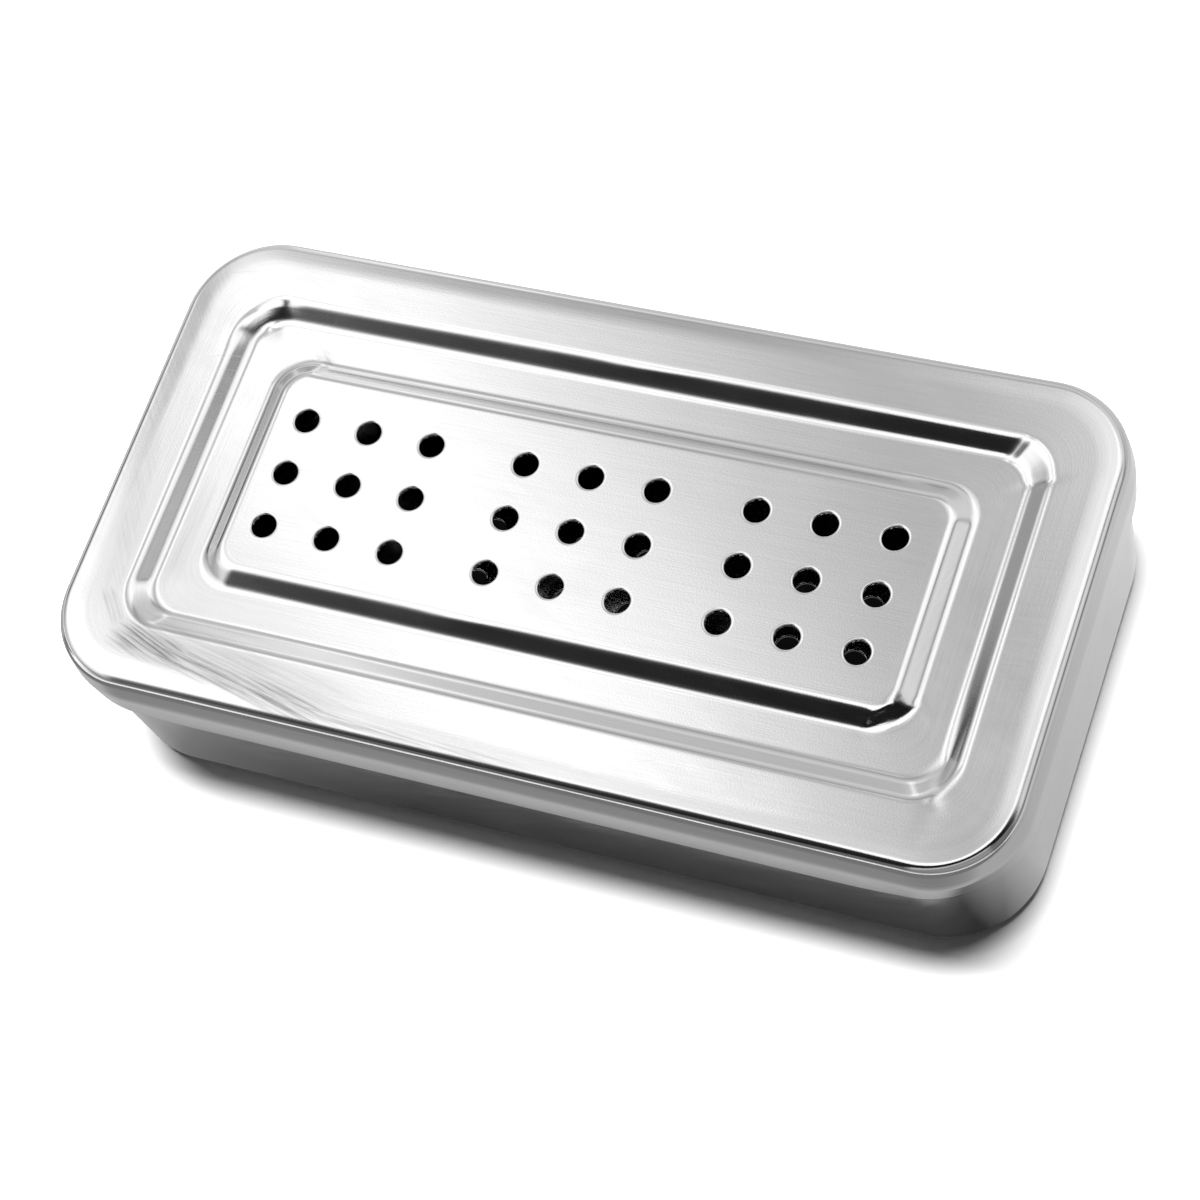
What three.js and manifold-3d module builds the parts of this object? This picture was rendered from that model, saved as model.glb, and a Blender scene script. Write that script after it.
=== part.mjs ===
// Two-piece stainless instrument box: a deep drawn base tray and a pressed lid that drops over it.
// Units are millimetres, +X along the long side, +Z up. The origin is the centre of the footprint,
// on the surface the base stands on.
import * as THREE from 'three';
import { mergeVertices } from 'three/addons/utils/BufferGeometryUtils.js';
import Module from 'manifold-3d';

const BOX_HEIGHT = 43; // underside of the base to the top of the lid
const SHEET = 0.7; // thickness of the pressed sheet, both pieces

// Every pressed outline is a rounded rectangle: reach is half its length, corner is the radius of
// its corners. Half its width is its reach less the same amount on every outline, so the bands
// between outlines are equally wide all round.
const REACH_OVER_HALF_WIDTH = 48.7;

// Perforation, the same pattern in the lid and in the floor of the base
const HOLE_DIAMETER = 5.1;
const HOLE_SIDES = 12;
const HOLE_PITCH_ALONG = 14; // between the columns of one group
const HOLE_PITCH_ACROSS = 12.15;
const HOLE_GROUP_PITCH = 48.6;
const HOLES_PER_GROUP_SIDE = 3;
const HOLE_GROUPS = 3;
const LID_PATTERN_CENTRE = new THREE.Vector2(-1.1, 0);
const BASE_PATTERN_CENTRE = new THREE.Vector2(1.1, 1.2);

// Lid, outlines of its upper face from the panel outwards
const PANEL_EDGE = { reach: 70.8, corner: 5 };
const CHANNEL_INNER = { reach: 74.4, corner: 7.5 };
const CHANNEL_OUTER = { reach: 82.8, corner: 7 };
const BAND_INNER = { reach: 87, corner: 9 };
const BAND_OUTER = { reach: 97.9, corner: 15.5 };
const SKIRT_BULGE = { reach: 101.1, corner: 18.7 }; // where the skirt is widest
const SKIRT_EDGE = { reach: 100.9, corner: 18.7 };
const CHANNEL_DEPTH = 2; // stiffening channel pressed round the perforated panel
const BEND_RADIUS = 2.4; // from the flat band into the skirt
const SKIRT_BULGE_DROP = 7; // below the top of the lid
const SKIRT_DROP = 15.2; // lower edge of the skirt, along the straight sides
const SKIRT_CORNER_LIFT = 3; // how much higher that edge is at the corners

// Base, outlines of its lower and outer face from the floor outwards
const FLOOR_EDGE = { reach: 82, corner: 8 };
const STANDING_INNER = { reach: 85.5, corner: 10 };
const STANDING_OUTER = { reach: 94.6, corner: 15 };
const WALL_OVERLAP = { reach: 99.4, corner: 19 };
const RIM = { reach: 99.2, corner: 18 };
const FLOOR_RAISE = 4; // perforated floor above the surface the base stands on
const FOOT_RADIUS = 4; // from the standing ring into the wall
const OVERLAP_HEIGHT = 27; // where the wall goes up inside the skirt
const RIM_HEIGHT = 41.1;

// Fineness of the solids
const CORNER_STEPS = 6;
const BEND_STEPS = 3;

// A lifted edge comes down again over this length of the straight side, and this part of the lift
// is left where the corner arc ends.
const CORNER_EASE = 14;
const EASE_LIFT_SHARE = 0.6;

const wasm = await Module();
wasm.setup();

// One outline of a pressed sheet, as a closed ring of points seen anticlockwise from above.
// lift raises its corners above height.
function outline({ reach, height, corner, lift = 0 }) {
  const halfWidth = reach - REACH_OVER_HALF_WIDTH;
  const quarters = [[1, 1], [-1, 1], [-1, -1], [1, -1]];
  return quarters.flatMap(([sideX, sideY], quarter) => {
    const start = (quarter * Math.PI) / 2;
    const end = start + Math.PI / 2;
    const centreX = sideX * (reach - corner);
    const centreY = sideY * (halfWidth - corner);
    const arc = new THREE.EllipseCurve(centreX, centreY, corner, corner, start, end);
    const turns = arc.getPoints(CORNER_STEPS);
    const before = turns[0].clone().addScaledVector(arc.getTangent(0), -CORNER_EASE);
    const after = turns[CORNER_STEPS].clone().addScaledVector(arc.getTangent(1), CORNER_EASE);
    const lifted = turns.map((turn, step) => {
      const middle = Math.sin((Math.PI * step) / CORNER_STEPS);
      const share = EASE_LIFT_SHARE + (1 - EASE_LIFT_SHARE) * middle;
      return new THREE.Vector3(turn.x, turn.y, height + lift * share);
    });
    return [
      new THREE.Vector3(before.x, before.y, height),
      ...lifted,
      new THREE.Vector3(after.x, after.y, height),
    ];
  });
}

function directionBetween(from, to) {
  return new THREE.Vector2(to.reach - from.reach, to.height - from.height).normalize();
}

// The other face of a sheet: every outline of a section moved square to the sheet by its thickness.
// side is +1 where that face is to the left of the section's direction, -1 where to the right.
function otherFace(section, side) {
  const level = new THREE.Vector2(1, 0);
  return section.map((point, index) => {
    const previous = section[index - 1];
    const next = section[index + 1];
    const arriving = previous ? directionBetween(previous, point) : level;
    const leaving = next ? directionBetween(point, next) : arriving;
    const tangent = arriving.clone().add(leaving).normalize();
    const mitre = SHEET / tangent.dot(arriving);
    const outward = -side * tangent.y * mitre;
    const upward = side * tangent.x * mitre;
    return {
      ...point,
      reach: point.reach + outward,
      height: point.height + upward,
      corner: point.corner + outward,
    };
  });
}

// The outlines of a quarter bend, which starts at the outline given and turns about a centre
// at that outline's reach.
function bend(start, centreHeight, radius, fromAngle, toAngle) {
  const points = [];
  for (let step = 1; step <= BEND_STEPS; step += 1) {
    const angle = fromAngle + ((toAngle - fromAngle) * step) / BEND_STEPS;
    const outward = radius * Math.cos(angle);
    points.push({
      reach: start.reach + outward,
      height: centreHeight + radius * Math.sin(angle),
      corner: start.corner + outward,
    });
  }
  return points;
}

// A closed solid sheet from the section of one face, run round all its outlines and capped.
function pressedSheet(section, side) {
  const rings = [...section, ...otherFace(section, side).reverse()].map(outline);
  const perRing = rings[0].length;
  const positions = rings.flat().flatMap((point) => [point.x, point.y, point.z]);
  const triangles = [];
  for (let ring = 0; ring < rings.length - 1; ring += 1) {
    for (let step = 0; step < perRing; step += 1) {
      const a = ring * perRing + step;
      const b = ring * perRing + ((step + 1) % perRing);
      triangles.push(a, a + perRing, b, b, a + perRing, b + perRing);
    }
  }
  const lastRing = (rings.length - 1) * perRing;
  [0, lastRing].forEach((first) => {
    const centre = positions.length / 3;
    positions.push(0, 0, positions[first * 3 + 2]);
    for (let step = 0; step < perRing; step += 1) {
      const a = first + step;
      const b = first + ((step + 1) % perRing);
      triangles.push(centre, ...(first === 0 ? [a, b] : [b, a]));
    }
  });
  const geometry = new THREE.BufferGeometry();
  geometry.setAttribute('position', new THREE.Float32BufferAttribute(positions, 3));
  geometry.setIndex(side < 0 ? triangles : triangles.reverse());
  return geometry;
}

function toSolid(geometry) {
  const bare = geometry.clone();
  bare.deleteAttribute('normal');
  bare.deleteAttribute('uv');
  const merged = mergeVertices(bare);
  return new wasm.Manifold(new wasm.Mesh({
    numProp: 3,
    vertProperties: new Float32Array(merged.attributes.position.array),
    triVerts: new Uint32Array(merged.index.array),
  }));
}

function toGeometry(solid) {
  const mesh = solid.getMesh();
  const positions = new Float32Array(mesh.vertProperties);
  const triangles = new Uint32Array(mesh.triVerts);
  const geometry = new THREE.BufferGeometry();
  geometry.setAttribute('position', new THREE.BufferAttribute(positions, 3));
  geometry.setIndex(new THREE.BufferAttribute(triangles, 1));
  return geometry;
}

// Centres of the holes, three groups of nine in a row along X.
function holeCentres(centre) {
  const middleHole = (HOLES_PER_GROUP_SIDE - 1) / 2;
  const middleGroup = (HOLE_GROUPS - 1) / 2;
  const centres = [];
  for (let group = 0; group < HOLE_GROUPS; group += 1) {
    const groupX = centre.x + (group - middleGroup) * HOLE_GROUP_PITCH;
    for (let column = 0; column < HOLES_PER_GROUP_SIDE; column += 1) {
      const x = groupX + (column - middleHole) * HOLE_PITCH_ALONG;
      for (let row = 0; row < HOLES_PER_GROUP_SIDE; row += 1) {
        const y = centre.y + (row - middleHole) * HOLE_PITCH_ACROSS;
        centres.push(new THREE.Vector2(x, y));
      }
    }
  }
  return centres;
}

// Punches the holes through a sheet whose middle is at the given height.
function perforate(geometry, centre, height) {
  let solid = toSolid(geometry);
  const radius = HOLE_DIAMETER / 2;
  holeCentres(centre).forEach(({ x, y }) => {
    const punch = new THREE.CylinderGeometry(radius, radius, 4 * SHEET, HOLE_SIDES);
    punch.rotateX(Math.PI / 2);
    punch.translate(x, y, height);
    solid = solid.subtract(toSolid(punch));
  });
  return toGeometry(solid);
}

// Perforated panel, channel, flat band, bend and skirt, by the face that is seen from above.
function lidGeometry() {
  const top = BOX_HEIGHT;
  const section = [
    { ...PANEL_EDGE, height: top },
    { ...CHANNEL_INNER, height: top - CHANNEL_DEPTH },
    { ...CHANNEL_OUTER, height: top - CHANNEL_DEPTH },
    { ...BAND_INNER, height: top },
    { ...BAND_OUTER, height: top },
    ...bend(BAND_OUTER, top - BEND_RADIUS, BEND_RADIUS, Math.PI / 2, 0),
    { ...SKIRT_BULGE, height: top - SKIRT_BULGE_DROP },
    { ...SKIRT_EDGE, height: top - SKIRT_DROP, lift: SKIRT_CORNER_LIFT },
  ];
  return perforate(pressedSheet(section, -1), LID_PATTERN_CENTRE, top - SHEET / 2);
}

// Raised perforated floor, standing ring, foot radius and wall, by the face seen from below.
function baseGeometry() {
  const section = [
    { ...FLOOR_EDGE, height: FLOOR_RAISE },
    { ...STANDING_INNER, height: 0 },
    { ...STANDING_OUTER, height: 0 },
    ...bend(STANDING_OUTER, FOOT_RADIUS, FOOT_RADIUS, -Math.PI / 2, 0),
    { ...WALL_OVERLAP, height: OVERLAP_HEIGHT },
    { ...RIM, height: RIM_HEIGHT },
  ];
  return perforate(pressedSheet(section, 1), BASE_PATTERN_CENTRE, FLOOR_RAISE + SHEET / 2);
}

function steel(color, roughness) {
  return new THREE.MeshStandardMaterial({ color, roughness, metalness: 1 });
}

const box = new THREE.Group();

const base = new THREE.Mesh(baseGeometry(), steel(0xb4b5b8, 0.32));
base.name = 'base';
box.add(base);

const lid = new THREE.Mesh(lidGeometry(), steel(0xc6c7ca, 0.28));
lid.name = 'lid';
box.add(lid);

export default box;
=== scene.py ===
"""Looks of a two-piece stainless instrument box: a deep drawn base and a pressed, perforated lid.

Each piece is one sheet of steel. Its section is a rounded polyline, run round a family of rounded
rectangles, given its thickness and closed by a perforated panel. Sizes are in millimetres until MM
is applied; the camera and lights are in metres.
"""

import math
from dataclasses import dataclass, replace

import bmesh
import bpy
from mathutils import Matrix, Vector, noise
from mathutils.geometry import delaunay_2d_cdt


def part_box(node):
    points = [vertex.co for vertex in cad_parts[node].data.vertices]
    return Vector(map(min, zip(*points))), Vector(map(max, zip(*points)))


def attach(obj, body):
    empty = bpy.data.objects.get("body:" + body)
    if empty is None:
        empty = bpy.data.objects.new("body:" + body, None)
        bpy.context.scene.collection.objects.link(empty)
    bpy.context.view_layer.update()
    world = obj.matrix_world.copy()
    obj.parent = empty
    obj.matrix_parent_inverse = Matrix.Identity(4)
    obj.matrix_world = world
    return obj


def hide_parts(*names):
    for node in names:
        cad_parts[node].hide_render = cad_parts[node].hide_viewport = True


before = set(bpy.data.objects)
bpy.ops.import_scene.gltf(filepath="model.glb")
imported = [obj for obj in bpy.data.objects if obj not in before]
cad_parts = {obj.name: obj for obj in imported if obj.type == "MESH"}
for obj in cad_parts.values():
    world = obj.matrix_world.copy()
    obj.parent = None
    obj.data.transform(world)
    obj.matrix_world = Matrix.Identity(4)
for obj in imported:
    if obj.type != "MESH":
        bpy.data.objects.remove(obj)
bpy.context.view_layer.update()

MM = 0.001

# Sizes read from the frame
LID_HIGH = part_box("lid")[1] / MM
BASE_LOW, BASE_HIGH = (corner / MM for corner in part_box("base"))
REACH_OVER_HALF_WIDTH = LID_HIGH.x - LID_HIGH.y  # every outline is this much longer than wide, each way
TOP = LID_HIGH.z
SKIRT_BULGE = LID_HIGH.x
RIM_HEIGHT = BASE_HIGH.z

# The pressed sheet
SHEET = 0.7
CHANNEL_DEPTH = 2.0
SKIRT_DROP = 15.2
SKIRT_CORNER_LIFT = 3.0
CORNER_EASE = 14.0  # the lifted lower edge comes down over this length beside each corner arc
FLOOR_RAISE = 4.0
FOOT_RADIUS = 4.0

# Perforation
HOLE_RADIUS = 2.55
HOLE_LIP = 0.34  # radius of the rolled lip round each hole
HOLE_PITCH_ALONG = 14.0
HOLE_PITCH_ACROSS = 12.15
HOLE_GROUP_PITCH = 48.6
LID_PATTERN_CENTRE = Vector((-1.1, 0.0))
BASE_PATTERN_CENTRE = Vector((1.1, 1.2))

# noise_vector is seeded from the clock unless told otherwise, and each run has to give the same sheet
NOISE_SEED = 1
noise.seed_set(NOISE_SEED)

# Unevenness of the sheet: (height, length, seed) of each wave, all inside WAVE_ROOM
WAVES = ((0.035, 38.0, 3.1), (0.012, 13.0, 8.7))
WAVE_ROOM = 0.07

# Forming marks of the lid, where the sheet was drawn round tight corners:
# (x, y, turn in degrees, half length, half width, height)
DENTS = (
    (-81.2, 32.2, 45.0, 2.2, 1.5, -0.26),
    (-78.2, 37.6, 12.0, 2.2, 0.9, -0.14),
    (-86.3, 28.6, 78.0, 3.0, 0.9, -0.12),
    (79.2, 36.2, 58.0, 3.0, 0.45, 0.07),
    (84.6, 29.6, 8.0, 3.0, 0.8, -0.16),
    (84.2, -28.5, 86.0, 10.0, 1.1, -0.20),
    (69.6, -23.6, 40.0, 3.0, 0.8, -0.18),
    (72.4, -20.4, 20.0, 3.0, 0.9, 0.16),
    (67.4, -24.4, 70.0, 1.4, 0.6, 0.12),
    (70.4, -21.6, 50.0, 1.2, 0.5, -0.1),
    (-70.5, -22.5, -45.0, 2.6, 1.0, 0.16),
    (-66.5, 25.5, 70.0, 3.0, 1.0, 0.14),
    (2.0, 37.3, 2.5, 8.0, 0.8, 0.11),
    (-17.0, -23.3, 2.5, 8.0, 0.8, 0.11),
    (-40.0, -35.6, -1.5, 18.0, 0.9, 0.09),
    (64.0, 25.0, -10.0, 6.0, 1.0, 0.10),
)

# Fineness of the meshes
CORNER_STEPS = 22
LONG_STEPS = 56
SHORT_STEPS = 26
END_CROWDING = 0.6  # how much closer together the steps of a straight side are at its ends
HOLE_STEPS = 36
LIP_STEPS = 4
EDGE_STEPS = 5
ARC_STEP = math.radians(5)
FLAT_STEP = 2.4
GUARD = 0.3  # width of the narrow flat beside a bend or hole, which keeps the shading of flats level
PANEL_STEP = 3.2
HOLE_CLEARANCE = 2.5 * GUARD  # least distance from a hole to the panel's loose points
WELD = 1e-3
MERGE = 1e-6  # distance under which two points of a panel are one
ROUNDING = 1e-9  # slack when a place along a section is compared with where its legs begin

TEXTURE_UNIT = 100.0  # millimetres of sheet to one unit of its texture coordinates


# ---------------------------------------------------------------- section of a pressed sheet

@dataclass
class Knee:
    """One corner of a section: its outline's reach, height and corner radius, how tightly it is bent,
    and how much higher its outline is at the four corners."""

    reach: float
    height: float
    corner: float
    bend: float = 0.0
    lift: float = 0.0


@dataclass
class Stop:
    """One point of a finished section, with the direction in which the section runs there. blank is
    how far out it was on the flat sheet before pressing."""

    reach: float
    height: float
    corner: float
    lift: float
    along: Vector
    blank: float = 0.0


def leg(a, b):
    """From one knee or stop to another, in the plane of the section."""
    return Vector((b.reach - a.reach, b.height - a.height))


def flat_cuts(length):
    """Distances along a flat at which it is cut: close to both ends, and evenly between."""
    if length < 4 * GUARD:
        return [length / 2]
    count = max(1, math.ceil((length - 2 * GUARD) / FLAT_STEP))
    step = (length - 2 * GUARD) / count
    return [GUARD + step * index for index in range(count + 1)]


def rounded_section(knees):
    """Stops along the section: every knee as an arc of its bend radius, every flat cut short."""
    legs = [leg(a, b) for a, b in zip(knees, knees[1:])]
    places = [0.0]
    for piece in legs:
        places.append(places[-1] + piece.length)

    def stop(place, point, along):
        index = max(i for i in range(len(legs)) if places[i] <= place + ROUNDING)
        share = (place - places[index]) / legs[index].length
        corner = knees[index].corner + (knees[index + 1].corner - knees[index].corner) * share
        lift = knees[index].lift + (knees[index + 1].lift - knees[index].lift) * share
        return Stop(point.x, point.y, corner, lift, along)

    start = Vector((knees[0].reach, knees[0].height))
    stops = [stop(0.0, start, legs[0].normalized())]
    flat_from, flat_place = start, 0.0
    for index in range(1, len(knees)):
        here = Vector((knees[index].reach, knees[index].height))
        arriving = legs[index - 1].normalized()
        leaving = legs[index].normalized() if index < len(legs) else arriving
        turn = -arriving.angle_signed(leaving, 0.0) if index < len(legs) else 0.0
        back = knees[index].bend * math.tan(abs(turn) / 2)
        arc_start = here - arriving * back
        flat = arc_start - flat_from
        for cut in flat_cuts(flat.length):
            stops.append(stop(flat_place + cut, flat_from + arriving * cut, arriving))
        if turn == 0.0:
            stops.append(stop(places[index], here, arriving))
            continue
        side = math.copysign(1.0, turn)
        centre = arc_start + Vector((-arriving.y, arriving.x)) * knees[index].bend * side
        count = max(2, math.ceil(abs(turn) / ARC_STEP))
        for step in range(count + 1):
            turned = Matrix.Rotation(turn * step / count, 2)
            point = centre + turned @ (arc_start - centre)
            stops.append(stop(places[index] + back * (2 * step / count - 1), point, turned @ arriving))
        flat_from = here + leaving * back
        flat_place = places[index] + back
    stops[0].blank = stops[0].reach
    for before, after in zip(stops, stops[1:]):
        after.blank = before.blank + leg(before, after).length
    return stops


def other_face(stop, side):
    """The same place on the sheet's other face. side is +1 to the left of the section's direction,
    -1 to the right."""
    across = Vector((-stop.along.y, stop.along.x)) * side * SHEET
    return replace(
        stop,
        reach=stop.reach + across.x,
        height=stop.height + across.y,
        corner=stop.corner + across.x,
    )


def rolled_edge(stop, side):
    """Stops round the cut edge of the sheet, from one face to the other."""
    across = Vector((-stop.along.y, stop.along.x)) * side
    middle = Vector((stop.reach, stop.height)) + across * SHEET / 2
    stops = []
    for step in range(1, EDGE_STEPS):
        angle = math.pi * step / EDGE_STEPS
        spoke = (stop.along * math.sin(angle) - across * math.cos(angle)) * SHEET / 2
        point = middle + spoke
        corner = stop.corner + point.x - stop.reach
        blank = stop.blank + SHEET / 2 * math.sin(angle)
        stops.append(replace(stop, reach=point.x, height=point.y, corner=corner, blank=blank))
    return stops


# ---------------------------------------------------------------- outlines

@dataclass
class RingPoint:
    """One point of an outline: where it is, where it was on the flat blank, and how far round it lies."""

    place: Vector
    blank: Vector
    around: float


def lift_share(distance, corner):
    """How much of a corner's lift is left at a distance along the outline from the middle of its arc."""
    room = corner * math.pi / 4 + CORNER_EASE
    return math.cos(math.pi / 2 * min(distance / room, 1.0)) ** 2


def outline(reach, corner):
    """A rounded rectangle seen anticlockwise from above, as pairs: a point, and its distance along the
    outline from the middle of the nearest corner."""
    half_width = reach - REACH_OVER_HALF_WIDTH
    arcs = []
    for quarter, (side_x, side_y) in enumerate(((1, 1), (-1, 1), (-1, -1), (1, -1))):
        centre = Vector((side_x * (reach - corner), side_y * (half_width - corner)))
        arc = []
        for step in range(CORNER_STEPS + 1):
            angle = math.pi / 2 * (quarter + step / CORNER_STEPS)
            spoke = Vector((math.cos(angle), math.sin(angle))) * corner
            arc.append((centre + spoke, abs(step / CORNER_STEPS - 0.5) * math.pi / 2 * corner))
        arcs.append(arc)
    points = []
    for quarter, arc in enumerate(arcs):
        points += arc
        end, start = arc[-1][0], arcs[(quarter + 1) % 4][0][0]
        steps = SHORT_STEPS if quarter % 2 else LONG_STEPS
        for step in range(1, steps):
            share = step / steps
            share -= END_CROWDING * math.sin(2 * math.pi * share) / (2 * math.pi)
            nearest = min(share, 1 - share) * (start - end).length
            points.append((end.lerp(start, share), arc[-1][1] + nearest))
    return points


def ring(stop):
    """All the points of one outline of a sheet, at their heights."""
    seen = outline(stop.reach, stop.corner)
    flat = outline(stop.blank, stop.corner + stop.blank - stop.reach)
    points, around = [], 0.0
    for index, ((point, distance), (blank, _)) in enumerate(zip(seen, flat)):
        if index:
            around += (point - seen[index - 1][0]).length
        height = stop.height + stop.lift * lift_share(distance, stop.corner)
        points.append(RingPoint(point.to_3d() + Vector((0, 0, height)), blank, around))
    return points


# ---------------------------------------------------------------- the mesh of one sheet

class SheetMesh:
    """A mesh whose corners remember two places in their textures: blank, where they were on the flat
    sheet, and polish, how far round and across the bands they lie, which the polishing follows."""

    def __init__(self):
        self.mesh = bmesh.new()
        self.blank = self.mesh.loops.layers.uv.new("blank")
        self.polish = self.mesh.loops.layers.uv.new("polish")

    def vertex(self, place):
        return self.mesh.verts.new(place)

    def face(self, verts, blanks, polishes):
        made = self.mesh.faces.new(verts)
        made.smooth = True
        for loop, blank, polish in zip(made.loops, blanks, polishes):
            loop[self.blank].uv = Vector(blank) / TEXTURE_UNIT
            loop[self.polish].uv = Vector(polish) / TEXTURE_UNIT

    def skin(self, stops):
        """Quads between the outlines of neighbouring stops."""
        rings = [ring(stop) for stop in stops]
        verts = [[self.vertex(point.place) for point in points] for points in rings]
        across = 0.0
        for index in range(len(rings) - 1):
            width = leg(stops[index], stops[index + 1]).length
            first, last = rings[index][0], rings[index][-1]
            full_turn = last.around + (last.place - first.place).length
            count = len(rings[index])
            for step in range(count):
                after = (step + 1) % count
                corners = ((index, step), (index + 1, step), (index + 1, after), (index, after))
                blanks = [rings[r][s].blank for r, s in corners]
                polishes = []
                for r, s in corners:
                    around = full_turn if s == 0 and step > 0 else rings[index][s].around
                    polishes.append((around, across + (width if r > index else 0.0)))
                self.face([verts[r][s] for r, s in corners], blanks, polishes)
            across += width

    def panel(self, edge, centres, hole_radius):
        """A flat panel inside a ring, with round holes left open."""
        height = edge[0].place.z
        points = [point.place.to_2d() for point in edge]
        outer = list(range(len(points)))
        fences = []
        for centre in centres:
            for radius in (hole_radius, hole_radius + GUARD):
                first = len(points)
                for step in range(HOLE_STEPS):
                    angle = 2 * math.pi * step / HOLE_STEPS
                    points.append(centre + radius * Vector((math.cos(angle), math.sin(angle))))
                fences += [(first + step, first + (step + 1) % HOLE_STEPS) for step in range(HOLE_STEPS)]
        points += panel_filling(edge, centres, hole_radius)
        placed, _, triangles, *_ = delaunay_2d_cdt(points, fences, [outer], 1, MERGE)
        verts = [self.vertex((point.x, point.y, height)) for point in placed]
        for triangle in triangles:
            middle = sum((placed[i] for i in triangle), Vector((0, 0))) / 3
            if all((middle - centre).length > hole_radius for centre in centres):
                flat = [placed[i] for i in triangle]
                self.face([verts[i] for i in triangle], flat, flat)

    def lips(self, centres, height, side):
        """The wall of every hole: a rolled lip from the seen face, then straight to the other face."""
        profile = []
        for step in range(LIP_STEPS + 1):
            angle = math.pi / 2 * step / LIP_STEPS
            profile.append((HOLE_LIP * (1 - math.sin(angle)), HOLE_LIP * (1 - math.cos(angle))))
        profile.append((0.0, SHEET))
        for centre in centres:
            rings = []
            for widening, depth in profile:
                loop = []
                for step in range(HOLE_STEPS):
                    angle = 2 * math.pi * step / HOLE_STEPS
                    flat = centre + (HOLE_RADIUS + widening) * Vector((math.cos(angle), math.sin(angle)))
                    loop.append((self.vertex((flat.x, flat.y, height + side * depth)), flat))
                rings.append(loop)
            for upper, lower in zip(rings, rings[1:]):
                for step in range(HOLE_STEPS):
                    after = (step + 1) % HOLE_STEPS
                    corners = (upper[step], lower[step], lower[after], upper[after])
                    flats = [flat for _, flat in corners]
                    self.face([vert for vert, _ in corners], flats, flats)

    def finished(self, name, marks):
        """The sheet as a closed mesh object in metres, its faces outwards. marks is a function that
        gives how far forming marks move a point, or None."""
        bmesh.ops.remove_doubles(self.mesh, verts=self.mesh.verts, dist=WELD)
        bmesh.ops.recalc_face_normals(self.mesh, faces=self.mesh.faces)
        for vert in self.mesh.verts:
            moved = vert.co + unevenness(vert.co)
            if marks:
                moved += marks(vert.co)
            vert.co = moved * MM
        data = bpy.data.meshes.new(name)
        self.mesh.to_mesh(data)
        self.mesh.free()
        piece = bpy.data.objects.new(name, data)
        bpy.context.scene.collection.objects.link(piece)
        return piece


def panel_filling(edge, centres, hole_radius):
    """Evenly staggered points inside a panel, clear of its edge and its holes."""
    half_length = max(point.place.x for point in edge) - PANEL_STEP / 2
    half_width = max(point.place.y for point in edge) - PANEL_STEP / 2
    row_step = PANEL_STEP * math.sqrt(3) / 2
    rows = int(half_width / row_step)
    points = []
    for row in range(-rows, rows + 1):
        shift = (row % 2) * PANEL_STEP / 2
        columns = int((half_length - shift) / PANEL_STEP)
        for column in range(-columns, columns + 1):
            point = Vector((column * PANEL_STEP + shift, row * row_step))
            near_corner = half_length - abs(point.x) + half_width - abs(point.y) < PANEL_STEP
            clear = all((point - centre).length > hole_radius + HOLE_CLEARANCE for centre in centres)
            if clear and not near_corner:
                points.append(point)
    return points


def hole_centres(centre):
    """Three groups of nine holes in a row along X."""
    thirds = (-1, 0, 1)
    return [
        centre + Vector((group * HOLE_GROUP_PITCH + column * HOLE_PITCH_ALONG, row * HOLE_PITCH_ACROSS))
        for group in thirds
        for column in thirds
        for row in thirds
    ]


def unevenness(place):
    """How far the real sheet is off its ideal shape there, never more than WAVE_ROOM."""
    offset = Vector((0, 0, 0))
    for height, length, seed in WAVES:
        offset += height * noise.noise_vector(place / length + Vector((seed, -seed, seed)))
    return offset


def dented(place):
    """How far the forming marks move a point of the lid up or down, never above the lid's top."""
    height = 0.0
    for x, y, turn, half_length, half_width, depth in DENTS:
        away = Matrix.Rotation(math.radians(-turn), 2) @ Vector((place.x - x, place.y - y))
        height += depth * math.exp(-((away.x / half_length) ** 2) - (away.y / half_width) ** 2)
    headroom = max(TOP - WAVE_ROOM - place.z, 0.0)
    return Vector((0, 0, min(height, headroom)))


def pressed_sheet(name, knees, side, pattern_centre, marks=None):
    """A whole sheet. side is where its thickness lies from the section: +1 to the left, -1 to the right."""
    stops = rounded_section(knees)
    inner = [other_face(stop, side) for stop in stops]
    sheet = SheetMesh()
    sheet.skin(stops + rolled_edge(stops[-1], side) + inner[::-1])
    centres = hole_centres(pattern_centre)
    sheet.panel(ring(stops[0]), centres, HOLE_RADIUS + HOLE_LIP)
    sheet.panel(ring(inner[0]), centres, HOLE_RADIUS)
    sheet.lips(centres, stops[0].height, side)
    return sheet.finished(name, marks)


def make_lid():
    """Perforated panel, channel, flat band, bend and skirt, by the face seen from above."""
    top = TOP - WAVE_ROOM
    channel = top - CHANNEL_DEPTH
    bulge = SKIRT_BULGE - WAVE_ROOM
    edge = TOP - SKIRT_DROP + SHEET / 2
    return pressed_sheet("lid_sheet", [
        Knee(69.0, top, 4.2),  # edge of the perforated panel
        Knee(71.25, top, 5.0, bend=3.6),
        Knee(74.65, channel, 7.5, bend=3.6),  # floor of the channel
        Knee(83.0, channel, 7.0, bend=4.4),
        Knee(86.75, top, 9.0, bend=4.4),  # flat band
        Knee(95.6, top, 13.2, bend=40.0),
        Knee(bulge - 0.7, top - 0.25, 17.9, bend=2.4),  # over into the skirt
        Knee(bulge, TOP - 7.0, 18.7, bend=14.0),
        Knee(bulge - 0.3, edge, 18.7, lift=SKIRT_CORNER_LIFT),  # lower edge of the skirt
    ], -1, LID_PATTERN_CENTRE, dented)


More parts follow.
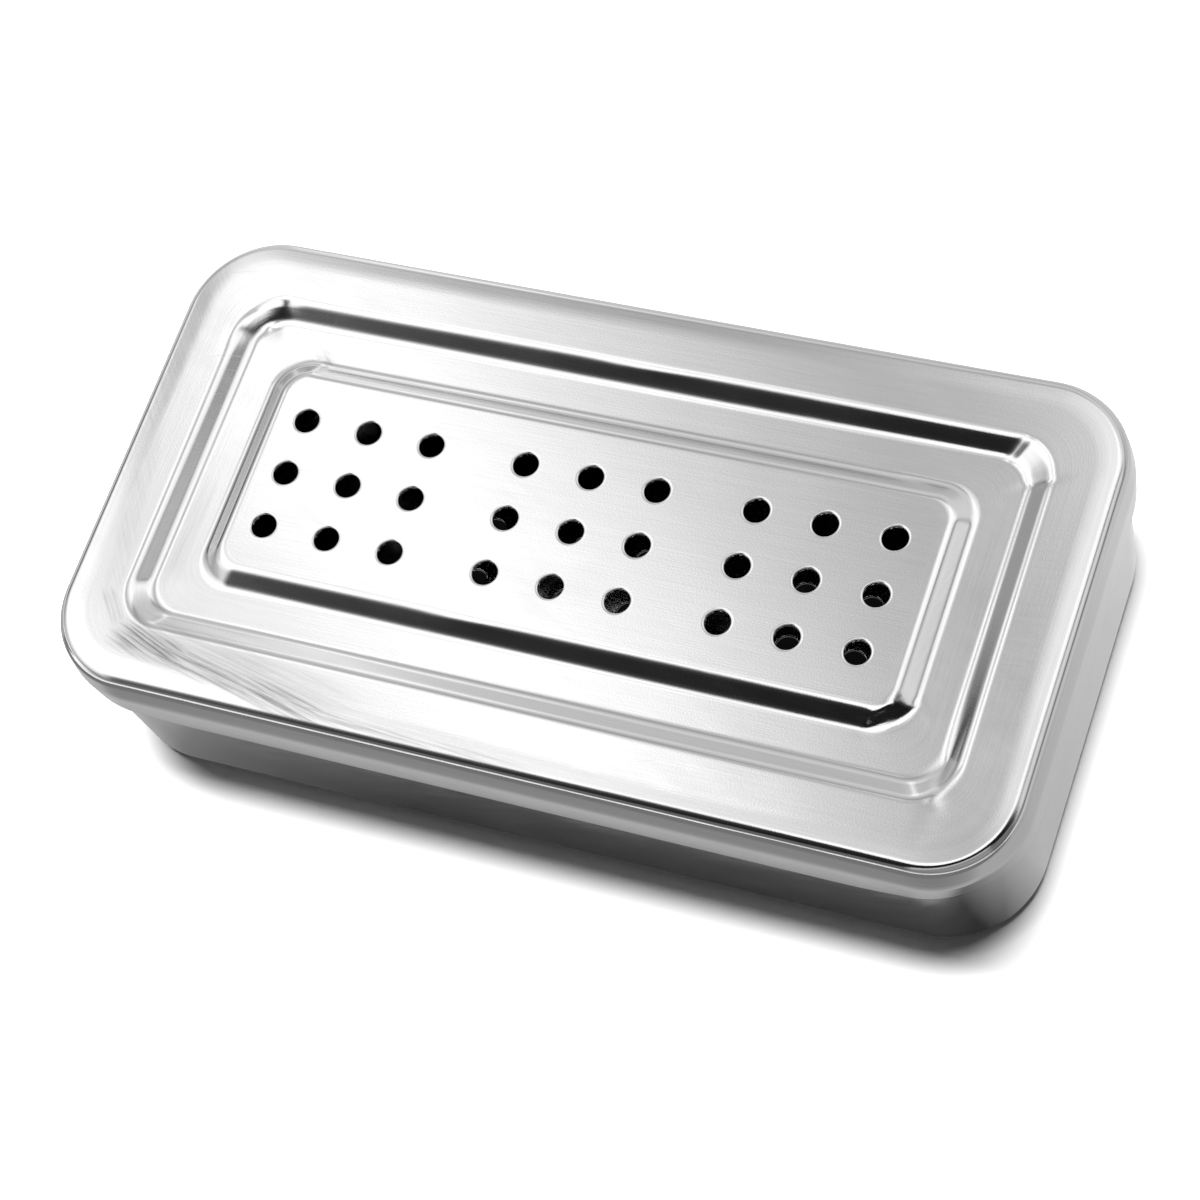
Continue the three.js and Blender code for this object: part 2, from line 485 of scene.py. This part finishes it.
def make_base():
    """Raised perforated floor, standing ring, foot bend and wall, by the face seen from below."""
    ground = BASE_LOW.z + WAVE_ROOM
    floor = FLOOR_RAISE + WAVE_ROOM
    wall = BASE_HIGH.x - WAVE_ROOM
    return pressed_sheet("base_sheet", [
        Knee(80.0, floor, 7.0),  # edge of the perforated floor
        Knee(82.0, floor, 8.0, bend=2.0),
        Knee(85.5, ground, 10.0, bend=2.0),  # standing ring
        Knee(wall - 0.8, ground, 19.0, bend=FOOT_RADIUS),
        Knee(wall, 27.0, 19.0, bend=30.0),  # where the wall goes up inside the skirt
        Knee(wall - 0.2, RIM_HEIGHT - SHEET / 2, 18.0),  # rim
    ], 1, BASE_PATTERN_CENTRE)


# ---------------------------------------------------------------- node trees

# Places of a Mix node's two inputs, by the kind of data that it mixes
MIX_FLOATS = (2, 3)
MIX_COLOURS = (6, 7)
MIX_COLOUR_RESULT = 2

NOISE_ROUGHNESS = 0.6
SEED_SLANT = 1.7  # a seed shifts its noise by this much more across the strokes than along them
SCRATCH_DETAIL = 1.5
SCRATCH_LEVEL = 0.5  # scratches of share 1 are all the noise above this level
SCRATCH_RISE = 0.28  # and those of share 0 only what is this much higher
SCRATCH_EDGE = 0.06  # rise of the noise over which a scratch comes to full strength
PATCH_EDGE = 0.35  # share of a patch's half size at which it begins to fade


class NodeTree:
    """Short hand for building a node tree."""

    def __init__(self, tree):
        self.tree = tree
        tree.nodes.clear()

    def node(self, kind, inputs=None, **settings):
        """A new node. inputs are by name or place, each a value or another node's output."""
        made = self.tree.nodes.new(kind)
        for name, value in settings.items():
            setattr(made, name, value)
        for name, value in (inputs or {}).items():
            if isinstance(value, bpy.types.NodeSocket):
                self.tree.links.new(value, made.inputs[name])
            else:
                made.inputs[name].default_value = value
        return made

    def math(self, operation, a, b=0.0):
        return self.node("ShaderNodeMath", {0: a, 1: b}, operation=operation).outputs[0]

    def remap(self, value, low, high, to_low=0.0, to_high=1.0, smooth=False):
        """value carried from the range low to high over to the range to_low to to_high."""
        kind = "SMOOTHSTEP" if smooth else "LINEAR"
        inputs = {"Value": value, "From Min": low, "From Max": high, "To Min": to_low, "To Max": to_high}
        return self.node("ShaderNodeMapRange", inputs, interpolation_type=kind).outputs["Result"]

    def ramp(self, value, levels, interpolation="LINEAR"):
        """A colour ramp of greys, from (position, level) pairs."""
        made = self.node("ShaderNodeValToRGB", {"Fac": value})
        made.color_ramp.interpolation = interpolation
        elements = made.color_ramp.elements
        while len(elements) < len(levels):
            elements.new(0.5)
        for element, (position, level) in zip(elements, levels):
            element.position = position
            element.color = (level, level, level, 1.0)
        return made.outputs["Color"]

    def grey(self, level):
        """A grey colour from one level."""
        colour = self.node("ShaderNodeCombineColor", {"Red": level, "Green": level, "Blue": level})
        return colour.outputs[0]

    def blend(self, low, high, share):
        """low where share is 0, high where it is 1."""
        first, second = MIX_FLOATS
        return self.node("ShaderNodeMix", {0: share, first: low, second: high}, data_type="FLOAT").outputs[0]

    def blend_colours(self, low, high, share, kind="MIX"):
        """The same for colours. kind is the way they are mixed."""
        first, second = MIX_COLOURS
        inputs = {0: share, first: low, second: high}
        mix = self.node("ShaderNodeMix", inputs, data_type="RGBA", blend_type=kind)
        return mix.outputs[MIX_COLOUR_RESULT]

    def streaks(self, coordinates, fineness, turn=0.0, detail=3.0, seed=0.0):
        """Noise stretched along a direction: its fineness along and across, and its turn in degrees."""
        turned = self.node("ShaderNodeMapping", {
            "Vector": coordinates,
            "Rotation": (0, 0, math.radians(-turn)),
        })
        mapped = self.node("ShaderNodeMapping", {
            "Vector": turned.outputs[0],
            "Scale": (*fineness, 1.0),
            "Location": (seed, seed * SEED_SLANT, 0.0),
        })
        stretched = self.node("ShaderNodeTexNoise", {
            "Vector": mapped.outputs[0],
            "Scale": 1.0,
            "Detail": detail,
            "Roughness": NOISE_ROUGHNESS,
        })
        return stretched.outputs["Fac"]

    def scratches(self, coordinates, fineness, turn, share, seed):
        """Thin separate lines: the crests of stretched noise. The smaller share is, the fewer there are."""
        crest = SCRATCH_LEVEL + SCRATCH_RISE * (1.0 - share)
        strokes = self.streaks(coordinates, fineness, turn, SCRATCH_DETAIL, seed)
        return self.remap(strokes, crest, crest + SCRATCH_EDGE)

    def patch(self, coordinates, centre, half_size, turn):
        """1 in the middle of a turned rectangle of the sheet, in millimetres, fading to 0 at its edges."""
        local = self.node("ShaderNodeMapping", {
            "Vector": coordinates,
            "Location": tuple(value / TEXTURE_UNIT for value in (*centre, 0.0)),
            "Rotation": (0, 0, math.radians(turn)),
            "Scale": tuple(value / TEXTURE_UNIT for value in (*half_size, TEXTURE_UNIT)),
        }, vector_type="TEXTURE").outputs[0]
        axes = self.node("ShaderNodeSeparateXYZ", {0: local}).outputs
        inside = [
            self.remap(self.math("ABSOLUTE", axes[axis]), PATCH_EDGE, 1.0, 1.0, 0.0, smooth=True)
            for axis in "XY"
        ]
        return self.math("MULTIPLY", *inside)


# ---------------------------------------------------------------- polished steel

STEEL_GREY = 0.58
LID_ROUGHNESS = 0.075
BASE_ROUGHNESS = 0.1

# Fineness of each texture along and across its strokes, as features in TEXTURE_UNIT of sheet
LINES = (5.0, 420.0)
LONG_LINES = (1.6, 70.0)
HAZE = (260.0, 260.0)
CLOUD = (4.0, 7.0)
WIPES = (3.0, 26.0)
WORN_STROKES = (5.0, 140.0)

# Scratches from use: (fineness, turn in degrees, share, seed)
SCRATCHES = (
    ((4.0, 260.0), 17.0, 0.16, 3.7),
    ((5.0, 300.0), -41.0, 0.12, 8.3),
    ((5.0, 300.0), 71.0, 0.1, 6.1),
)
SCRATCH_STRENGTH = 0.4

# Wear is cloud and wipes together, tarnish is long lines and wear, grain is lines and haze, and
# relief is lines and haze evenly
CLOUD_SHARE = 0.6
WEAR_SHARE = 0.5
HAZE_SHARE = 0.35
RELIEF_SHARE = 0.5

# How much each of them changes the steel: factors on its roughness or grey at the low and the high
# end of a range of the texture
WEAR_RANGE = (0.38, 0.66)
WEAR_ON_ROUGHNESS = (0.75, 1.7)
TARNISH_RANGE = (0.35, 0.65)
TARNISH_ON_TONE = (1.02, 0.965)
GRAIN_RANGE = (0.3, 0.7)
GRAIN_ON_TONE = (1.04, 0.96)
SCRATCHED_TONE = 0.8
# grey left where a patch is strongest: partly wear, partly a painted dark reflection
DULLED_AND_SHADED_TONE = 0.3
MARKED_ROUGHNESS = 0.16  # added to the roughness by scratches and worn patches
SCRATCH_DEPTH = 0.5
BUMP_STRENGTH = 0.055
BUMP_HEIGHT = 0.0002  # metres
STRETCH_OF_GLOSS = 0.35
QUARTER_TURN = 0.25  # the polishing lines run round the bands, so the gloss is stretched across them

# Strokes of a patch: the range of their noise, and the share of its strength left between them
WORN_RANGE = (0.4, 0.68)
WORN_BETWEEN = 0.25
WORN_DETAIL = 4.0

# Patches of the lid, partly dulled by handling and by the polishing wheel and partly a painted dark
# reflection, in millimetres and degrees:
# (centre, half size, turn of the patch, turn of its strokes, strength)
LID_WORN_AND_SHADED_PATCHES = (
    ((-97.5, 22.0), (3.5, 40.0), -3.0, -54.0, 0.22),
    ((-93.0, -16.0), (3.0, 26.0), 8.0, -58.0, 0.2),
    ((-58.0, -46.2), (34.0, 3.8), -9.0, -13.0, 1.0),
    ((-77.0, -43.0), (12.0, 4.4), -10.0, -20.0, 1.2),
    ((-58.0, -44.0), (34.0, 7.0), -8.0, -12.0, 0.45),
    ((-88.5, -36.5), (7.0, 2.2), -52.0, -54.0, 0.5),
    ((-26.0, -49.4), (42.0, 1.9), -2.0, -4.0, 0.6),
    ((-80.5, -16.0), (3.0, 16.0), 0.0, 88.0, 0.25),
    ((80.5, 0.0), (3.0, 34.0), 0.0, 90.0, 0.12),
    ((92.0, 0.0), (5.0, 30.0), 0.0, 5.0, 0.08),
    ((74.0, 0.0), (2.0, 20.0), 0.0, 70.0, 0.12),
)


def scratched(nodes, blank):
    """How strongly each place of the sheet is scratched, in all directions together."""
    marks = [nodes.scratches(blank, *scratch) for scratch in SCRATCHES]
    strongest = marks[0]
    for mark in marks[1:]:
        strongest = nodes.math("MAXIMUM", strongest, mark)
    return nodes.math("MULTIPLY", strongest, SCRATCH_STRENGTH)


def worn_and_shaded(nodes, blank, worn_and_shaded_patches):
    """How strongly each place of the sheet is darkened by the strokes of its patches: partly wear, partly a
    painted dark reflection.
    """
    dulled_and_shaded = 0.0
    for centre, half_size, turn, stroke_turn, strength in worn_and_shaded_patches:
        strokes = nodes.streaks(blank, WORN_STROKES, stroke_turn, WORN_DETAIL, seed=turn)
        strokes = nodes.remap(strokes, *WORN_RANGE, WORN_BETWEEN * strength, strength)
        there = nodes.patch(blank, centre, half_size, turn)
        dulled_and_shaded = nodes.math("MAXIMUM", dulled_and_shaded, nodes.math("MULTIPLY", strokes, there))
    return dulled_and_shaded


def steel(name, roughness, worn_and_shaded_patches):
    """Polished stainless steel: fine lines along the bands, a soft haze, wipe marks and scratches."""
    material = bpy.data.materials.new(name)
    material.use_nodes = True
    nodes = NodeTree(material.node_tree)
    blank = nodes.node("ShaderNodeUVMap", uv_map="blank").outputs[0]
    polish = nodes.node("ShaderNodeUVMap", uv_map="polish").outputs[0]

    lines = nodes.streaks(polish, LINES, seed=1.3)
    long_lines = nodes.streaks(polish, LONG_LINES, seed=4.1)
    haze = nodes.streaks(blank, HAZE, detail=2.0, seed=2.6)
    cloud = nodes.streaks(blank, CLOUD, turn=12.0, detail=4.0, seed=7.9)
    wipes = nodes.streaks(blank, WIPES, turn=-24.0, detail=2.0, seed=5.5)
    marks = scratched(nodes, blank)
    # patches of strokes that stand partly for wear and partly for a painted dark reflection
    dulled_and_shaded = worn_and_shaded(nodes, blank, worn_and_shaded_patches)
    wear = nodes.blend(wipes, cloud, CLOUD_SHARE)
    tarnish = nodes.blend(long_lines, wear, WEAR_SHARE)
    grain = nodes.blend(lines, haze, HAZE_SHARE)

    least, most = (roughness * factor for factor in WEAR_ON_ROUGHNESS)
    rough = nodes.remap(wear, *WEAR_RANGE, least, most)
    marked = nodes.math("MULTIPLY", nodes.math("ADD", marks, dulled_and_shaded), MARKED_ROUGHNESS)
    rough = nodes.math("ADD", rough, marked)

    palest, darkest = (STEEL_GREY * factor for factor in TARNISH_ON_TONE)
    tone = nodes.remap(tarnish, *TARNISH_RANGE, palest, darkest)
    tone = nodes.math("MULTIPLY", tone, nodes.remap(grain, *GRAIN_RANGE, *GRAIN_ON_TONE))
    tone = nodes.math("MULTIPLY", tone, nodes.remap(marks, 0.0, 1.0, 1.0, SCRATCHED_TONE))
    # darker where the patches are: partly wear, partly a painted dark reflection
    tone = nodes.math("MULTIPLY", tone, nodes.remap(dulled_and_shaded, 0.0, 1.0, 1.0, DULLED_AND_SHADED_TONE))

    relief = nodes.blend(lines, haze, RELIEF_SHARE)
    relief = nodes.math("SUBTRACT", relief, nodes.math("MULTIPLY", marks, SCRATCH_DEPTH))
    bump = nodes.node("ShaderNodeBump", {
        "Height": relief,
        "Strength": BUMP_STRENGTH,
        "Distance": BUMP_HEIGHT,
    })
    tangent = nodes.node("ShaderNodeTangent", direction_type="UV_MAP", uv_map="polish")
    shader = nodes.node("ShaderNodeBsdfPrincipled", {
        "Base Color": nodes.grey(tone),
        "Metallic": 1.0,
        "Roughness": rough,
        "Anisotropic": STRETCH_OF_GLOSS,
        "Anisotropic Rotation": QUARTER_TURN,
        "Normal": bump.outputs[0],
        "Tangent": tangent.outputs[0],
    })
    nodes.node("ShaderNodeOutputMaterial", {"Surface": shader.outputs[0]})
    return material


# ---------------------------------------------------------------- studio

# Brightness of the studio round the box, in belts by the height of a direction's unit vector. Each
# belt lists (azimuth in degrees, brightness). The lid's flats show FLAT_BELT.
FLAT_BELT = (
    (50, 1.3), (58, 1.8), (94, 2.0), (107, 1.55), (114, 1.3), (118, 0.98), (121, 0.82), (124, 0.88),
    (127, 1.05), (130, 1.3), (133, 1.65), (136, 2.0), (140, 2.3), (143, 1.8), (146, 1.4), (149, 1.8),
    (152, 2.2), (180, 2.1),
)
STUDIO = {
    0.04: (
        (-180, 1.9), (-100, 1.9), (-30, 1.7), (30, 0.9), (90, 0.8), (105, 0.75), (109, 0.9), (112, 1.1),
        (116, 1.6), (120, 1.4), (150, 1.2), (161, 1.25), (180, 1.4),
    ),
    0.30: (
        (-180, 0.7), (-120, 0.4), (-10, 0.4), (22, 0.25), (50, 0.7), (75, 1.1), (92, 0.9), (107, 0.9),
        (113, 0.98), (116, 1.6), (119, 0.9), (150, 0.6), (156.4, 0.58), (157.4, 0.35), (158.2, 0.1),
        (164, 0.08), (168, 0.5), (180, 0.7),
    ),
    0.45: (
        (-180, 1.0), (-120, 0.5), (-30, 0.6), (10, 0.9), (33, 1.1), (60, 1.2), (90, 1.1), (105, 1.1),
        (112, 1.2), (117, 2.0), (121, 1.3), (150, 0.62), (160, 0.62), (180, 1.0),
    ),
    0.64: (
        (-180, 1.5), (-110, 1.3), (-30, 1.2), (10, 1.3), (33, 1.3), (43, 0.8), (52, 1.2), (90, 1.1),
        (108, 0.98), (114, 0.95), (120, 0.95), (140, 1.0), (146, 1.2), (151, 2.0), (156, 1.6),
        (161, 1.1), (180, 1.3),
    ),
    0.76: (
        (-180, 1.9), (-110, 1.6), (-30, 1.3), (10, 1.4), (30, 1.2), (38, 0.95), (43, 0.45), (50, 1.2),
        (58, 1.6), (90, 1.3), (105, 0.65), (122, 0.62), (128, 0.8), (133, 1.2), (136, 1.8), (139, 1.8),
        (142, 1.0), (145, 0.9), (148, 1.4), (151, 2.0), (180, 1.9),
    ),
    0.82: ((-180, 2.1), (-110, 1.8), (-30, 1.4), (10, 1.4), (30, 1.2), (38, 0.95), (43, 0.4), *FLAT_BELT),
    0.90: ((-180, 2.1), (-110, 1.8), (-30, 1.4), (10, 1.6), (30, 1.5), (38, 1.2), (44, 0.8), *FLAT_BELT),
    0.935: (
        (-180, 2.1), (-110, 1.8), (-30, 1.4), (10, 1.6), (30, 1.5), (50, 1.5), (94, 2.0), (107, 1.55),
        (114, 1.3), (118, 0.98), (121, 0.82), (124, 0.88), (133, 1.0), (143, 1.3), (152, 1.8),
        (165, 2.1), (180, 2.1),
    ),
    0.985: ((-180, 2.1), (92, 2.1), (104, 1.0), (136, 1.0), (150, 1.5), (165, 2.1), (180, 2.1)),
}
BRIGHTEST = 2.5
EXPOSURE = 0.9

# The unlit room in front, a round patch of the studio: its azimuth, and its centre's angle down from
# straight overhead, in degrees; then (angle from the centre, light) from its middle outwards
DARK_CENTRE = (-60.0, 45.0)
DARK_EDGE = (
    (0, 0.01), (36, 0.012), (42, 0.028), (45, 0.045), (48, 0.09), (50.5, 0.2), (54, 0.6), (58, 1.0),
)

# Heights of direction over which that room gives way, upwards to the bright ceiling, and downwards to
# a dim wall
DARK_CEILING = (0.93, 0.965)
DARK_FLOOR = (0.63, 0.45)
DIM_WALL = 0.45

# A lit doorway in that room, which the lid's flats show from behind: its light by azimuth, and the
# heights of direction over which it begins
DOORWAY_BY_AZIMUTH = ((-108, 0.0), (-98, 0.8), (-30, 0.8), (-20, 0.0))
DOORWAY_TOP = (0.78, 0.62)


def unit_vector(azimuth, from_overhead):
    """The direction at an azimuth and an angle down from straight overhead, both in degrees."""
    turn, tilt = math.radians(azimuth), math.radians(from_overhead)
    return Vector((math.sin(tilt) * math.cos(turn), math.sin(tilt) * math.sin(turn), math.cos(tilt)))


def by_azimuth(nodes, azimuth, levels, brightest=1.0):
    """A ramp over the azimuth, which is given as a share of the full circle from -180 degrees."""
    shares = [((angle + 180) / 360, level / brightest) for angle, level in levels]
    return nodes.ramp(azimuth, shares, "EASE")


def room_light(nodes, towards, height, azimuth):
    """1 where the studio is fully lit, near 0 in the dark room."""
    centre = unit_vector(*DARK_CENTRE)
    nearness = nodes.node("ShaderNodeVectorMath", {0: towards, 1: centre}, operation="DOT_PRODUCT")
    angle = nodes.math("DIVIDE", nodes.math("ARCCOSINE", nearness.outputs["Value"]), math.pi)
    light = nodes.ramp(angle, [(degrees / 180, level) for degrees, level in DARK_EDGE])
    ceiling = nodes.remap(height, *DARK_CEILING, smooth=True)
    wall = nodes.remap(height, *DARK_FLOOR, 0.0, DIM_WALL, smooth=True)
    doorway = nodes.remap(height, *DOORWAY_TOP, smooth=True)
    doorway = nodes.math("MULTIPLY", by_azimuth(nodes, azimuth, DOORWAY_BY_AZIMUTH), doorway)
    for other in (ceiling, wall, doorway):
        light = nodes.math("MAXIMUM", light, other)
    return light


def make_world():
    """A smooth white studio, bright overhead and behind, pale at the horizon, with a dark room in front."""
    world = bpy.data.worlds.new("studio")
    world.use_nodes = True
    bpy.context.scene.world = world
    world.cycles_visibility.diffuse = False  # the lamps alone light the floor
    nodes = NodeTree(world.node_tree)
    towards = nodes.node("ShaderNodeTexCoord").outputs["Generated"]
    axes = nodes.node("ShaderNodeSeparateXYZ", {0: towards}).outputs
    azimuth = nodes.remap(nodes.math("ARCTAN2", axes["Y"], axes["X"]), -math.pi, math.pi)
    heights = list(STUDIO)
    belts = [by_azimuth(nodes, azimuth, levels, BRIGHTEST) for levels in STUDIO.values()]
    light = belts[0]
    for low, high, belt in zip(heights, heights[1:], belts[1:]):
        light = nodes.blend_colours(light, belt, nodes.remap(axes["Z"], low, high, smooth=True))
    dimming = room_light(nodes, towards, axes["Z"], azimuth)
    light = nodes.blend_colours(light, dimming, 1.0, "MULTIPLY")
    background = nodes.node("ShaderNodeBackground", {"Color": light, "Strength": BRIGHTEST * EXPOSURE})
    nodes.node("ShaderNodeOutputWorld", {"Surface": background.outputs[0]})


# The lamps that light the floor: (name, power, width in degrees, direction that points to the lamp)
SUNS = (
    ("key_left", 4.2, 18.0, (-0.3, 0.14, 1.0)),
    ("key_right", 4.2, 18.0, (0.1, 0.14, 1.0)),
    ("fill", 0.02, 170.0, (0.0, 0.0, 1.0)),
)


def make_sun(name, power, width, towards):
    """A soft light for the floor, left out of reflections."""
    light = bpy.data.lights.new(name, "SUN")
    light.energy = power
    light.angle = math.radians(width)
    lamp = bpy.data.objects.new(name, light)
    lamp.rotation_euler = Vector(towards).to_track_quat("Z", "Y").to_euler()
    lamp.visible_glossy = False
    bpy.context.scene.collection.objects.link(lamp)


# ---------------------------------------------------------------- floor

FLOOR_SIZE = 8.0  # metres
FLOOR_SPAN = 120.0  # how far from the origin the floor's tones are told
FOOT_INSET = 4.5  # how far inside the base's widest outline it meets the floor
FOOT_CORNER = 15.0

# Painted contact shadow: tone of the floor as the camera sees it, by distance from the base
PAINTED_CONTACT_SHADOW = ((0.0, 0.03), (0.4, 0.24), (2.0, 0.4), (4.0, 0.65), (7.0, 0.85))

# Painted light of a glowing card that the steel reflects in place of the floor, by Y, and how far the
# painted shadow in front dims it
PAINTED_FLOOR_LIGHT_BY_Y = (
    (-120, 0.3), (-81, 0.31), (-70, 0.47), (-64, 0.66), (-22, 0.68), (22, 0.8), (45, 0.95), (120, 1.0),
)
PAINTED_SHADOW_BY_Y = (
    (-59.8, 1.0), (-57.6, 0.17), (-56.6, 0.15), (-54, 0.11), (-51, 0.07), (-44, 0.05), (-30, 1.0),
)
PAINTED_SHADOW_BY_X = (
    (-105, 0.0), (-92, 0.3), (-84, 0.65), (-74, 0.78), (-60, 0.88), (-30, 1.0), (92, 1.0), (112, 0.0),
)
# Painted shade under the base: the share of the card's brightness left there, and where it ends
PAINTED_UNDER_BASE_SHADE = 0.2  # share of that brightness left right under the base
PAINTED_UNDER_BASE_SHADE_EDGE = 4.0  # the full brightness is back at this distance from the base
REFLECTED_DROP = 0.2  # the reflected floor lies this far under the seen one


def plain_plane(name, height):
    """The node tree of the material of a new wide level plane, and the plane itself."""
    half = FLOOR_SIZE / 2
    data = bpy.data.meshes.new(name)
    corners = [(x, y, height) for x, y in ((-half, -half), (half, -half), (half, half), (-half, half))]
    data.from_pydata(corners, [], [(0, 1, 2, 3)])
    plane = bpy.data.objects.new(name, data)
    bpy.context.scene.collection.objects.link(plane)
    material = bpy.data.materials.new(name)
    material.use_nodes = True
    data.materials.append(material)
    plane.visible_shadow = False
    return NodeTree(material.node_tree), plane


def floor_axes(nodes):
    """Coordinates of a point of the floor, in metres."""
    place = nodes.node("ShaderNodeNewGeometry").outputs["Position"]
    return nodes.node("ShaderNodeSeparateXYZ", {0: place}).outputs


def beyond_footprint(nodes, axes):
    """How far a point of the floor is outside the base's footprint, a rounded rectangle, in metres."""
    radius = FOOT_CORNER * MM
    squares = []
    for axis, half in ((axes["X"], BASE_HIGH.x - FOOT_INSET), (axes["Y"], BASE_HIGH.y - FOOT_INSET)):
        past_arc = nodes.math("SUBTRACT", nodes.math("ABSOLUTE", axis), half * MM - radius)
        outside = nodes.math("MAXIMUM", past_arc, 0.0)
        squares.append(nodes.math("MULTIPLY", outside, outside))
    from_arc = nodes.math("SUBTRACT", nodes.math("SQRT", nodes.math("ADD", *squares)), radius)
    return nodes.math("MAXIMUM", from_arc, 0.0)


def make_floor():
    """The pale floor as the camera sees it, overexposed to white, with a painted contact shadow near the
    base and painted shade under it.
    """
    nodes, floor = plain_plane("floor", 0.0)
    floor.visible_glossy = False
    reach = nodes.math("DIVIDE", beyond_footprint(nodes, floor_axes(nodes)), FLOOR_SPAN * MM)
    # the floor's colour darkens towards and under the base: a painted contact shadow
    tone_with_painted_shadow = nodes.ramp(reach, [(distance / FLOOR_SPAN, level) for distance, level in PAINTED_CONTACT_SHADOW])
    shader = nodes.node("ShaderNodeBsdfDiffuse", {"Color": nodes.grey(tone_with_painted_shadow)})
    nodes.node("ShaderNodeOutputMaterial", {"Surface": shader.outputs[0]})


def make_painted_floor_reflection():
    """A glowing card that the steel reflects in place of the floor, with painted light: pale round the box,
    painted shade under it and a painted shadow in front.
    """
    nodes, card = plain_plane("painted_floor_reflection", -REFLECTED_DROP * MM)
    card.visible_camera = False
    axes = floor_axes(nodes)

    def by(axis, levels):
        share = nodes.remap(axis, -FLOOR_SPAN * MM, FLOOR_SPAN * MM)
        return nodes.ramp(share, [(0.5 + 0.5 * at / FLOOR_SPAN, level) for at, level in levels])

    painted_pool = by(axes["Y"], PAINTED_FLOOR_LIGHT_BY_Y)
    dimming = nodes.math("SUBTRACT", 1.0, by(axes["Y"], PAINTED_SHADOW_BY_Y))
    painted_shadow = nodes.math("MULTIPLY", by(axes["X"], PAINTED_SHADOW_BY_X), dimming)
    beyond = beyond_footprint(nodes, axes)
    painted_under_base_factor = nodes.remap(beyond, 0.0, PAINTED_UNDER_BASE_SHADE_EDGE * MM, PAINTED_UNDER_BASE_SHADE, 1.0, smooth=True)
    painted_light = nodes.math("MULTIPLY", painted_pool, nodes.math("SUBTRACT", 1.0, painted_shadow))
    painted_light = nodes.math("MULTIPLY", painted_light, painted_under_base_factor)
    glow = nodes.node("ShaderNodeEmission", {"Strength": nodes.math("MULTIPLY", painted_light, EXPOSURE)})
    nodes.node("ShaderNodeOutputMaterial", {"Surface": glow.outputs[0]})


# ---------------------------------------------------------------- camera

CAMERA_AZIMUTH = math.radians(44.42)  # turned from the front towards the right end
CAMERA_ELEVATION = math.radians(60.27)
CAMERA_ROLL = math.radians(-28.34)
CAMERA_TARGET = Vector((0.0010, -0.0040, 0.0215))
CAMERA_DISTANCE = 0.6465
LENS = 97.5
SENSOR = 36.0
NEAREST_SEEN = 0.01  # metres, as the target and the distance


def make_camera():
    """A long lens looking down over the box's front right corner, turned in the picture by its roll."""
    backward = Vector((
        math.cos(CAMERA_ELEVATION) * math.sin(CAMERA_AZIMUTH),
        -math.cos(CAMERA_ELEVATION) * math.cos(CAMERA_AZIMUTH),
        math.sin(CAMERA_ELEVATION),
    ))
    level = Vector((math.cos(CAMERA_AZIMUTH), math.sin(CAMERA_AZIMUTH), 0.0))
    upright = backward.cross(level)
    right = level * math.cos(CAMERA_ROLL) + upright * math.sin(CAMERA_ROLL)
    up = upright * math.cos(CAMERA_ROLL) - level * math.sin(CAMERA_ROLL)
    axes = Matrix((right, up, backward)).transposed().to_4x4()
    camera_data = bpy.data.cameras.new("camera")
    camera_data.lens = LENS
    camera_data.sensor_width = SENSOR
    camera_data.clip_start = NEAREST_SEEN
    camera = bpy.data.objects.new("camera", camera_data)
    camera.matrix_world = Matrix.Translation(CAMERA_TARGET + backward * CAMERA_DISTANCE) @ axes
    bpy.context.scene.collection.objects.link(camera)
    bpy.context.scene.camera = camera


# ---------------------------------------------------------------- the scene

bpy.context.scene.view_settings.view_transform = "Standard"
make_camera()
make_world()
for sun in SUNS:
    make_sun(*sun)
make_floor()
make_painted_floor_reflection()

for name, make, body, roughness, worn_and_shaded_patches in (
    ("lid", make_lid, "lid_body", LID_ROUGHNESS, LID_WORN_AND_SHADED_PATCHES),
    ("base", make_base, "base_body", BASE_ROUGHNESS, ()),
):
    piece = make()
    piece.data.materials.append(steel(f"{name}_steel", roughness, worn_and_shaded_patches))
    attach(piece, body)
    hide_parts(name)
